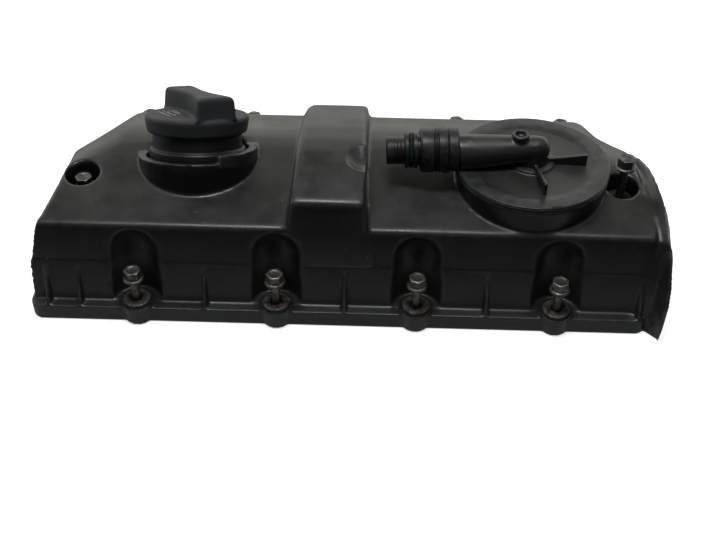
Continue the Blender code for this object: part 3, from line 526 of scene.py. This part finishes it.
def round_off(points, cx, cy, radius, facets, low, spread):
    """Push the facets of an upright round wall out to the true circle."""
    x, y, z = (points / MM).T
    reach = np.hypot(x - cx, y - cy)
    turn = 2 * math.pi / facets
    angle = np.arctan2(y - cy, x - cx)
    within = np.abs((angle / turn) % 1.0 - 0.5) * turn
    flat = radius * math.cos(turn / 2) / np.cos(within)
    near = (np.abs(reach - flat) < spread) & (z > low)
    scale = np.where(near, radius / np.maximum(flat, 1e-6), 1.0)
    points[:, 0] = (cx + (x - cx) * scale) * MM
    points[:, 1] = (cy + (y - cy) * scale) * MM


def cover():
    """The moulded cover: the CAD solid, with its edges and inner corners melted into fillets."""
    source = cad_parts["cover_shell"]
    obj = bpy.data.objects.new("cover_moulding", source.data.copy())
    bpy.context.scene.collection.objects.link(obj)
    bm = bmesh.new()
    bm.from_mesh(obj.data)
    bmesh.ops.remove_doubles(bm, verts=bm.verts, dist=1e-6)
    bm.to_mesh(obj.data)
    bm.free()
    obj = merged("cover_moulding", [obj] + boss_cups())
    remesh(obj, 0.9)
    points = points_of(obj.data)
    round_off(points, DRUM_X, DRUM_Y, 47.3, 40, 62, 0.8)
    round_off(points, DRUM_X, DRUM_Y, 48.8, 40, 79, 0.5)
    obj.data.vertices.foreach_set("co", points.astype(np.float32).ravel())
    weights = cover_weights(points_of(obj.data))
    relax(obj, weights, 15)
    mark_edges(obj, 0.09)
    thin = obj.modifiers.new("thin", "DECIMATE")
    thin.ratio = min(1.0, 95000 / len(obj.data.polygons))
    bake(obj)
    return dressed(obj, "cover_plastic", "root", "cover_shell", sharp=0)


# ---------------------------------------------------------------- bolts and seats

def hex_radius(angle, across=9.7):
    """The radius of a hexagon at an angle, with its corners slightly rounded."""
    turn = math.pi / 3
    within = (angle % turn) - turn / 2
    return min(across / 2 / math.cos(within), across / 2 * 1.135)


def hex_head(name, place, height):
    """A hexagon head: chamfered corners at the top and a shallow dish in the middle."""
    segments = 96
    angles = [2 * math.pi * i / segments for i in range(segments)]
    levels = [0.0, 0.6, 2.0, height - 2.6] + [height - 2.4 + 0.2 * i for i in range(12)]
    rings = []
    for z in levels:
        cone = 4.75 + (height - z) * 1.9
        rings.append(([min(hex_radius(a), cone) for a in angles], z))
    for r, z in ((4.55, height), (3.6, height), (3.3, height - 0.25), (2.2, height - 0.45)):
        rings.append(([r] * segments, z))
    rows = [[(r * MM * math.cos(a), r * MM * math.sin(a), z * MM) for r, a in zip(radii, angles)]
            for radii, z in rings]
    obj = skin(name, rows)
    obj.data.transform(place)
    return obj


def thread(name, place, low, high, radius=2.97, pitch=1.0):
    """A rolled thread: the ridge climbs one pitch each turn and fades out at both ends."""
    segments = 36
    count = int((high - low) / pitch * 8)
    rows = []
    for k in range(count + 1):
        z = low + (high - low) * k / count
        fade = min(1.0, (z - low) / 1.2 + 0.15, (high - z) / 0.8 + 0.1)
        row = []
        for i in range(segments):
            a = 2 * math.pi * i / segments
            phase = (z / pitch - i / segments) % 1.0
            depth = 0.62 * abs(2 * phase - 1) * fade + 0.5 * max(0, 0.7 - (z - low)) + 0.05 * (1 - fade)
            r = (radius - depth) * MM
            row.append((r * math.cos(a), r * math.sin(a), z * MM))
        rows.append(row)
    obj = skin(name, rows)
    obj.data.transform(place)
    return obj


def merged(name, objs):
    """Put several meshes into one piece."""
    bm = bmesh.new()
    for obj in objs:
        bm.from_mesh(obj.data)
        bpy.data.objects.remove(obj)
    return made_from(name, bm)


def bolt(node):
    """A flange bolt with a rolled thread, turned a little differently from its neighbours."""
    low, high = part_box(node)
    x, y = (low.x + high.x) / 2, (low.y + high.y) / 2
    under = high.z - BOLT_HEAD_H * MM
    length = (under - low.z) / MM
    turn = Matrix()
    if node != "left_end_bolt":
        turn = Matrix.Rotation(0.35 * math.sin(311 * x + 97 * y), 4, "Z")
    place = Matrix.Translation((x, y, under)) @ turn
    flange = [(0, 0), (6.3, 0), (6.6, 0.25), (6.55, 0.8), (6.1, 1.35), (5.4, 1.75), (0, 1.9)]
    shank = [(0, 0.2), (2.6, 0.2), (2.6, -length + 13.2), (2.45, -length + 12.8), (0, -length + 12.6)]
    parts = [
        turned("flange", flange, 64, place, 0.15),
        hex_head("head", place @ placed(0, 0, 1.2), BOLT_HEAD_H - 1.2),
        turned("shank", shank, 36, place, 0.1),
        thread("thread", place, -length, -length + 13.2),
    ]
    slot = "black_steel" if node == "right_end_bolt" else "bolt_steel"
    obj = merged(node + "_piece", parts)
    mark_edges(obj, 0.5)
    return dressed(obj, slot, node, node, sharp=34)


def seat(stem):
    """The washer-headed sleeve and the rubber grommet of one bolt."""
    low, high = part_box(stem + "_seat_sleeve")
    x, y = (low.x + high.x) / 2 / MM, (low.y + high.y) / 2 / MM
    rise = low.z / MM - 0.3
    place = placed(x, y, rise)
    washer = [(3.4, 0.3), (4.6, 0.3), (4.6, 14.3), (8.2, 14.3), (8.45, 14.6), (8.45, 15.5), (7.9, 15.95),
              (4.3, 15.7), (3.9, 15.9), (3.4, 15.6)]
    sleeve = turned(stem + "_sleeve_piece", washer, 72, place, 0.2)
    mark_edges(sleeve, 0.5)
    dressed(sleeve, "washer_steel", "root", stem + "_seat_sleeve")
    lips = [(4.9, 2), (6.0, 2), (6.0, 11.7), (8.0, 11.7), (8.75, 12.1), (8.75, 12.6), (8.2, 12.9),
            (8.8, 13.3), (8.7, 13.9), (8.1, 14.2), (4.9, 14.2)]
    ring = turned(stem + "_grommet_piece", lips, 72, place, 0.25)
    dressed(ring, "black_rubber", "root", stem + "_grommet")


# ---------------------------------------------------------------- oil filler

def filler_neck():
    """The neck: a plain tube above a wider bayonet ring with fine mould lines."""
    outline = [(24.6, -12.5), (28.0, -12.5), (28.4, -9.6), (26.6, -9.6), (26.6, -6.8), (28.4, -6.8),
               (28.4, -4), (30.7, -4), (30.8, -1.2), (30.55, -0.9), (30.8, -0.6), (30.8, 3.4), (30.1, 4.5),
               (28.9, 4.8), (28.45, 5.6), (28.4, 12.4), (28.2, 12.6), (28.4, 12.8), (28.4, 21.8),
               (28.0, 22.4), (24.6, 22.4)]
    obj = turned("filler_neck_piece", outline, 128, filler_place(), 0.3)
    mark_edges(obj, 0.3)
    dressed(obj, "connector_plastic", "neck", "filler_neck")
    seal = [(27.0, -9.3), (28.6, -9.3), (29.0, -8.2), (28.6, -7.1), (27.0, -7.1)]
    dressed(turned("neck_seal_piece", seal, 96, filler_place(), 0.4), "green_rubber", "neck", "neck_seal")
    ring = [(25.0, 22.7), (28.2, 22.7), (28.2, 24.3), (25.0, 24.3)]
    ring_piece = turned("cap_seal_piece", ring, 96, filler_place(), 0.4)
    dressed(ring_piece, "black_rubber", "cap_carrier", "cap_seal")


def grip_outline():
    """The plan of the bow-tie grip: a waisted outline drawn through a few half widths."""
    stations = (-32.5, -29, -22, -12, 0, 10, 20, 27, 31)
    front = (10.0, 10.4, 9.6, 8.2, 7.3, 8.2, 10.4, 12.3, 12.8)
    rear = (10.8, 11.2, 10.6, 9.4, 8.4, 9.3, 11.5, 13.4, 13.9)
    fine = np.linspace(stations[0], stations[-1], 41)
    front_half, rear_half = (np.polyval(np.polyfit(stations, side, 5), fine) for side in (front, rear))
    near_side = [(x, -half) for x, half in zip(fine, front_half)]
    far_side = [(x, half) for x, half in zip(fine, rear_half)]
    return near_side + far_side[::-1]


def cap():
    """The cap: a drafted skirt, an inner plug and a bow-tie grip, melted together at the corners."""
    outline = [(22.6, 10), (24.2, 10), (24.2, 24.6), (29.4, 24.6), (29.4, 15.9), (29.8, 14.9), (31.0, 14.9),
               (31.7, 15.5), (33.0, 23.6), (32.3, 25.4), (30.4, 26.2), (0, 26.8), (0, 24.6), (22.6, 24.6)]
    obj = turned("cap_piece", outline, 128, None, 0.4)
    plan = grip_outline()
    levels = ((25.0, 1.0, 1.04), (26.8, 0.998, 1.0), (28.0, 0.995, 0.975), (36.0, 0.985, 0.93),
              (38.0, 0.98, 0.90), (39.2, 0.965, 0.84), (39.8, 0.93, 0.72))
    rows = [[(x * sx * MM, y * sy * MM, z * MM) for x, y in plan] for z, sx, sy in levels]
    grip = skin("grip", rows)
    grip.data.transform(Matrix.Rotation(math.radians(122) + math.pi, 4, "Z"))
    fuse(obj, grip)
    remesh(obj, 0.5)
    points = points_of(obj.data) / MM
    radial = np.hypot(points[:, 0], points[:, 1])
    weights = np.where(points[:, 2] > 24.9, 0.8, 0.12)
    weights = np.where((radial > 30.5) & (points[:, 2] < 27.2), 0.2, weights)
    relax(obj, weights, 18)
    mark_edges(obj, 0.25)
    obj.data.transform(filler_place())
    dressed(obj, "cap_plastic", "cap", "filler_cap", sharp=0)
    print_marks()


def print_marks():
    """Generic printed strokes on the cap's top, beside the grip."""
    strokes = (((-25.0, 0.3), (-14.0, -16.5)), ((-22.5, 4.0), (-11.4, -14.1)), ((-19.6, 5.4), (-9.1, -9.7)),
               ((-16.5, 5.9), (-9.6, -6.5)))
    bm = bmesh.new()
    for first, last in strokes:
        start_at, end_at = Vector(first), Vector(last)
        across = (end_at - start_at).orthogonal().normalized() * 0.42
        rows = []
        for k in range(9):
            middle = start_at.lerp(end_at, k / 8)
            height = 26.8 - middle.length * 0.6 / 30.4
            rows.append([bm.verts.new(Vector((p.x, p.y, height + lift)) * MM)
                         for p, lift in ((middle - across, -0.2), (middle + across, -0.2),
                                         (middle + across, 0.12), (middle - across, 0.12))])
        for a, b in zip(rows, rows[1:]):
            for i in range(4):
                j = (i + 1) % 4
                bm.faces.new((a[i], a[j], b[j], b[i]))
        bm.faces.new(rows[0])
        bm.faces.new(rows[-1][::-1])
    obj = made_from("cap_print", bm)
    obj.data.transform(filler_place())
    obj.data.materials.append(PRINT)
    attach(obj, "cap")


# ---------------------------------------------------------------- breather valve

def lid():
    """The drum's lid, with its stepped rim, dished middle, outlet pipe, fins and test port."""
    centre = placed(DRUM_X, DRUM_Y)
    disc = [(6.7, 76.6), (10, 76.6), (10, 82.6), (48.4, 82.6), (48.8, 83.0), (48.8, 83.7), (48.3, 83.95),
            (48.3, 84.25), (48.7, 84.45), (48.6, 84.9), (48.2, 85.1), (40.6, 85.1), (38.6, 84.85),
            (36.6, 84.35), (34.8, 84.2), (15.2, 84.2), (14.4, 84.5), (13.6, 85.8), (12.8, 86.0), (6.7, 86.0)]
    plate = turned("lid_disc", disc, 160, centre, 0.25)
    mark_edges(plate, 0.3)
    dressed(plate, "cover_plastic", "root", "breather_lid", sharp=32)

    place = pipe_place()
    taper = [(0, -4.4), (3.0, -4.1), (5.4, -2.8), (7.1, -0.6), (7.9, 3), (11.9, 51), (12.0, 52.2), (0, 52.2)]
    pipe = turned("lid_pipe", taper, 96, pipe_place(PIPE_MOUTH), 0.4)
    fuse(pipe, turned("nose", [(0, 44), (9.4, 44), (9.4, 70), (0, 70)], 96, place, 0.3))
    riser = [(0, 83.2), (10.6, 83.2), (9.7, 85.6), (9.3, 88), (8.6, 95), (6.4, 100.4), (3.5, 101.6),
             (0, 102)]
    fuse(pipe, turned("riser", riser, 64, centre, 0.4))
    port = placed(105.2, DRUM_Y - 0.6)
    fuse(pipe, turned("port", [(0, 95), (5.6, 95), (5.3, 105.6), (0, 105.6)], 64, port, 0.3))
    for angle, reach in ((-3, 34.0), (-82, 34.4)):
        half = 1.15
        outline = [(7, 83.4), (reach, 83.4), (reach, 92.0), (reach - 1, 92.4), (7, 87.6)]
        fin = skin("fin", [[(x * MM, side * half * MM, z * MM) for x, z in outline] for side in (-1, 1)])
        fin.data.transform(centre @ Matrix.Rotation(math.radians(angle), 4, "Z"))
        fuse(pipe, fin)
    hole = [(0, 102.8), (1.6, 102.8), (3.2, 103.6), (3.5, 110), (0, 110)]
    fuse(pipe, turned("hole", hole, 48, port, 0), "DIFFERENCE")
    duct = turned("duct", [(0, 6), (6.5, 6), (6.5, 80), (0, 80)], 48, place, 0)
    fuse(pipe, duct, "DIFFERENCE")
    remesh(pipe, 0.5)
    points = points_of(pipe.data) / MM
    weights = np.full(len(points), 0.35)
    weights = np.where(points[:, 2] < 84.4, 0.1, weights)
    relax(pipe, weights, 9)
    mark_edges(pipe, 0.3)
    dressed(pipe, "cover_plastic", "root", "breather_lid", sharp=0)

    corners = ((-3.2, -0.7), (3.2, -0.7), (2.9, 0.7), (-2.9, 0.7))
    clip = skin("lid_clip", [[(x * MM, y * MM, z * MM) for x, y in corners] for z in (84.8, 85.5)])
    clip.data.transform(Matrix.Rotation(math.radians(90), 4, "Z"))
    clip.data.transform(centre @ Matrix.Rotation(math.radians(-77), 4, "Z") @ placed(47.3))
    edge = clip.modifiers.new("edge", "BEVEL")
    edge.width = 0.2 * MM
    edge.segments = 2
    dressed(clip, "cap_plastic", "root")


def connector():
    """The hose coupling: a ribbed sleeve, two seal lands, a spigot with fine rings and a release tab."""
    length = (PIPE_END - PIPE_START).length
    s = 56.0
    outline = [(9.7, s - 3.4), (12.9, s - 3.4), (13.5, s - 2.6), (13.5, s + 2.6), (12.8, s + 3.0),
               (12.8, s + 3.4), (13.7, s + 3.8),
               (13.7, s + 9.0), (12.7, s + 9.3), (12.7, s + 10.0), (13.7, s + 10.3), (13.7, s + 11.0),
               (12.7, s + 11.3), (12.7, s + 12.0), (13.7, s + 12.3), (13.7, s + 19.4), (12.4, s + 20.5),
               (9.4, s + 20.5), (9.4, s + 22), (11.1, s + 22), (11.1, s + 24.5), (8.8, s + 24.5),
               (8.8, s + 27.5), (11.1, s + 27.5), (11.1, s + 29.7), (8.6, s + 30.1)]
    t = s + 30.6
    while t < length - 6:
        outline += [(8.5, t), (8.5, t + 1.3), (8.3, t + 1.5), (8.3, t + 1.8)]
        t += 2.1
    outline += [(8.5, length - 5), (8.5, length - 0.8), (7.9, length), (6.4, length), (6.4, 71), (9.7, 71)]
    obj = turned("connector_sleeve", outline, 112, None, 0.22)
    corners = ((-2.2, 12.2), (2.2, 12.2), (1.9, 14.6), (-1.9, 14.6))
    tab = skin("tab", [[(x * MM, y * MM, z * MM) for x, y in corners] for z in (s + 2, s + 6.5)])
    tab.data.transform(Matrix.Rotation(math.radians(-140), 4, "Z"))
    obj = merged("connector_piece", [obj, tab])
    obj.data.transform(pipe_place())
    mark_edges(obj, 0.4)
    dressed(obj, "connector_plastic", "connector", "quick_connector", sharp=34)
    g = s + 26
    ring = [(9.1, g - 1.1), (10.4, g - 1.1), (11, g), (10.4, g + 1.1), (9.1, g + 1.1)]
    dressed(turned("connector_ring_piece", ring, 96, pipe_place(), 0.5), "green_rubber", "connector",
            "connector_o_ring")


def spring():
    """The regulator spring as a smooth round wire."""
    turns, per_turn, sides = 4, 40, 12
    wire, coil = 0.7, 13.6
    low, high = 72.2 + 0.3 + wire, 82.6 - 0.3 - wire
    rows = []
    for i in range(turns * per_turn + 1):
        share = i / (turns * per_turn)
        a = 2 * math.pi * turns * share
        radial = Vector((math.cos(a), math.sin(a), 0))
        middle = radial * coil + Vector((DRUM_X, DRUM_Y, low + (high - low) * share))
        rows.append([(middle + wire * (math.cos(b) * radial + math.sin(b) * Vector((0, 0, 1)))) * MM
                     for b in [2 * math.pi * k / sides for k in range(sides)]])
    obj = skin("spring_piece", rows)
    dressed(obj, "spring_steel", "root", "regulator_spring")
    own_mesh(obj)


def diaphragm():
    """The rolling rubber disc, as one fixed turned shape."""
    top = [(21, 70.4), (24, 70.6), (27, 72.6), (30, 76.0), (34, 78.4), (38, 78.2), (40.4, 79.6),
           (41.4, 81.0), (42.4, 82.0), (44.6, 82.0)]
    bottom = [(44.6, 79.7), (41.4, 79.7), (38.3, 76.9), (34, 77.0), (31, 74.8), (28.2, 71.6), (25, 69.4),
              (4, 69.2), (4, 70.4)]
    obj = turned("diaphragm_piece", top + bottom, 96, placed(DRUM_X, DRUM_Y), 0.8)
    dressed(obj, "black_rubber", "root", "diaphragm")
    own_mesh(obj)


def plain_nodes():
    """The hidden plates, screws and gasket: the CAD solids with softened edges and their looks."""
    slots = {"diaphragm_plate": "connector_plastic", "baffle_plate": "connector_plastic",
             "perimeter_gasket": "green_rubber"}
    for i in range(1, 5):
        slots[f"baffle_screw_{i}"] = "spring_steel"
    for name, slot in slots.items():
        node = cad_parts[name]
        node.data.materials.clear()
        node.data.materials.append(LOOKS[slot])
        edge = node.modifiers.new("edge", "BEVEL")
        edge.width = 0.25 * MM
        edge.segments = 2
        edge.limit_method = "ANGLE"
        edge.angle_limit = math.radians(40)


# ---------------------------------------------------------------- studio

def studio():
    """A pale floor, a soft box behind and above, a weak fill, and a pale room."""
    scene = bpy.context.scene
    bm = bmesh.new()
    half = 6.0
    corners = ((-half, -half, 0), (half, -half, 0), (half, half, 0), (-half, half, 0))
    bm.faces.new([bm.verts.new(p) for p in corners])
    floor = made_from("floor", bm)
    floor.location.z = -0.3 * MM
    made, tree, shader, coords = start("studio_floor", 0.0, 0.2)
    paper = clouds(tree, coords, 30, 4)
    seen = tree.nodes.new("ShaderNodeLightPath").outputs["Is Camera Ray"]
    pale = mix(tree, paper, grey(0.86), grey(0.90))
    # Painted shade for reflections and bounce light only: away from the camera the floor is dark more than
    # 170 mm in front of the cover and pale nearer and behind; the camera sees it evenly pale.
    near = remap(tree, add(tree, "SeparateXYZ", Vector=coords).outputs[1], -0.170, -0.140, 0.02, 0.5)
    tree.links.new(mix(tree, seen, near, pale), shader.inputs["Base Color"])
    shader.inputs["Roughness"].default_value = 0.7
    tree.links.new(mix(tree, seen, grey(0.0), grey(1.0)), shader.inputs["Emission Color"])
    shader.inputs["Emission Strength"].default_value = 0.6
    floor.data.materials.append(made)

    for name, place, target, size, power, colour in (
        ("overhead", (-0.04, -0.15, 1.3), (0, 0, 0.05), (0.6, 0.2), 9.0, (0.96, 0.985, 1.0)),
        ("side_left", (-1.2, 0.1, 0.7), (0, 0, 0.05), (0.5, 0.7), 1.6, (0.93, 0.97, 1.0)),
        ("fill_front", (0.3, -1.5, 0.8), (0, 0, 0.03), (1.0, 0.6), 0.4, (0.95, 0.98, 1.0)),
    ):
        lamp = bpy.data.lights.new(name, "AREA")
        lamp.shape = "RECTANGLE"
        lamp.size, lamp.size_y = size
        lamp.energy = power
        lamp.color = colour
        obj = bpy.data.objects.new(name, lamp)
        scene.collection.objects.link(obj)
        obj.location = place
        obj.rotation_mode = "QUATERNION"
        obj.rotation_quaternion = (Vector(target) - Vector(place)).to_track_quat("-Z", "Y")

    world = bpy.data.worlds.new("room")
    world.use_nodes = True
    tree = world.node_tree
    background = tree.nodes["Background"]
    way = add(tree, "SeparateXYZ", Vector=tree.nodes.new("ShaderNodeTexCoord").outputs["Generated"]).outputs
    behind = remap(tree, way[1], 0.10, 0.5)
    wall = maths(tree, "MULTIPLY", behind, remap(tree, way[2], 0.53, 0.635, 1.32, 0.0))
    aside = remap(tree, maths(tree, "ABSOLUTE", way[0]), 0.04, 0.30, 1.0, 1.6)
    ceiling = maths(tree, "MULTIPLY", aside, remap(tree, way[2], 0.70, 0.88, 0.04, 0.29))
    glow = maths(tree, "ADD", wall, ceiling)
    seen = tree.nodes.new("ShaderNodeLightPath").outputs["Is Camera Ray"]
    warm = mix(tree, behind, grey(1.0, (0.96, 0.98, 1.0)), grey(1.0, (1.0, 0.995, 0.93)))
    tree.links.new(mix(tree, seen, warm, grey(1.0)), background.inputs["Color"])
    tree.links.new(maths(tree, "MAXIMUM", glow, seen), background.inputs["Strength"])
    scene.world = world
    scene.view_settings.view_transform = "Standard"


def camera():
    """The camera, its three axes worked out from its turn, dip and lean."""
    cy, sy = math.cos(CAMERA_YAW), math.sin(CAMERA_YAW)
    cp, sp = math.cos(CAMERA_PITCH), math.sin(CAMERA_PITCH)
    cr, sr = math.cos(CAMERA_ROLL), math.sin(CAMERA_ROLL)
    forward = Vector((-sy * cp, cy * cp, -sp))
    right = Vector((cy, sy, 0))
    up = right.cross(forward)
    side = right * cr + up * sr
    top = up * cr - right * sr
    data = bpy.data.cameras.new("camera")
    data.sensor_width = 36
    data.lens = CAMERA_LENS
    data.clip_start = 0.01
    obj = bpy.data.objects.new("camera", data)
    bpy.context.scene.collection.objects.link(obj)
    turn = Matrix((side, top, -forward)).transposed()
    obj.matrix_world = Matrix.Translation(CAMERA_PLACE * MM) @ turn.to_4x4()
    bpy.context.scene.camera = obj


cover()
for number in range(1, 5):
    bolt(f"front_bolt_{number}")
    seat(f"front_{number}")
for number in range(1, 6):
    bolt(f"rear_bolt_{number}")
    seat(f"rear_{number}")
for stem in ("left_end", "right_end"):
    bolt(stem + "_bolt")
    seat(stem)
filler_neck()
cap()
lid()
connector()
spring()
diaphragm()
plain_nodes()
studio()
camera()
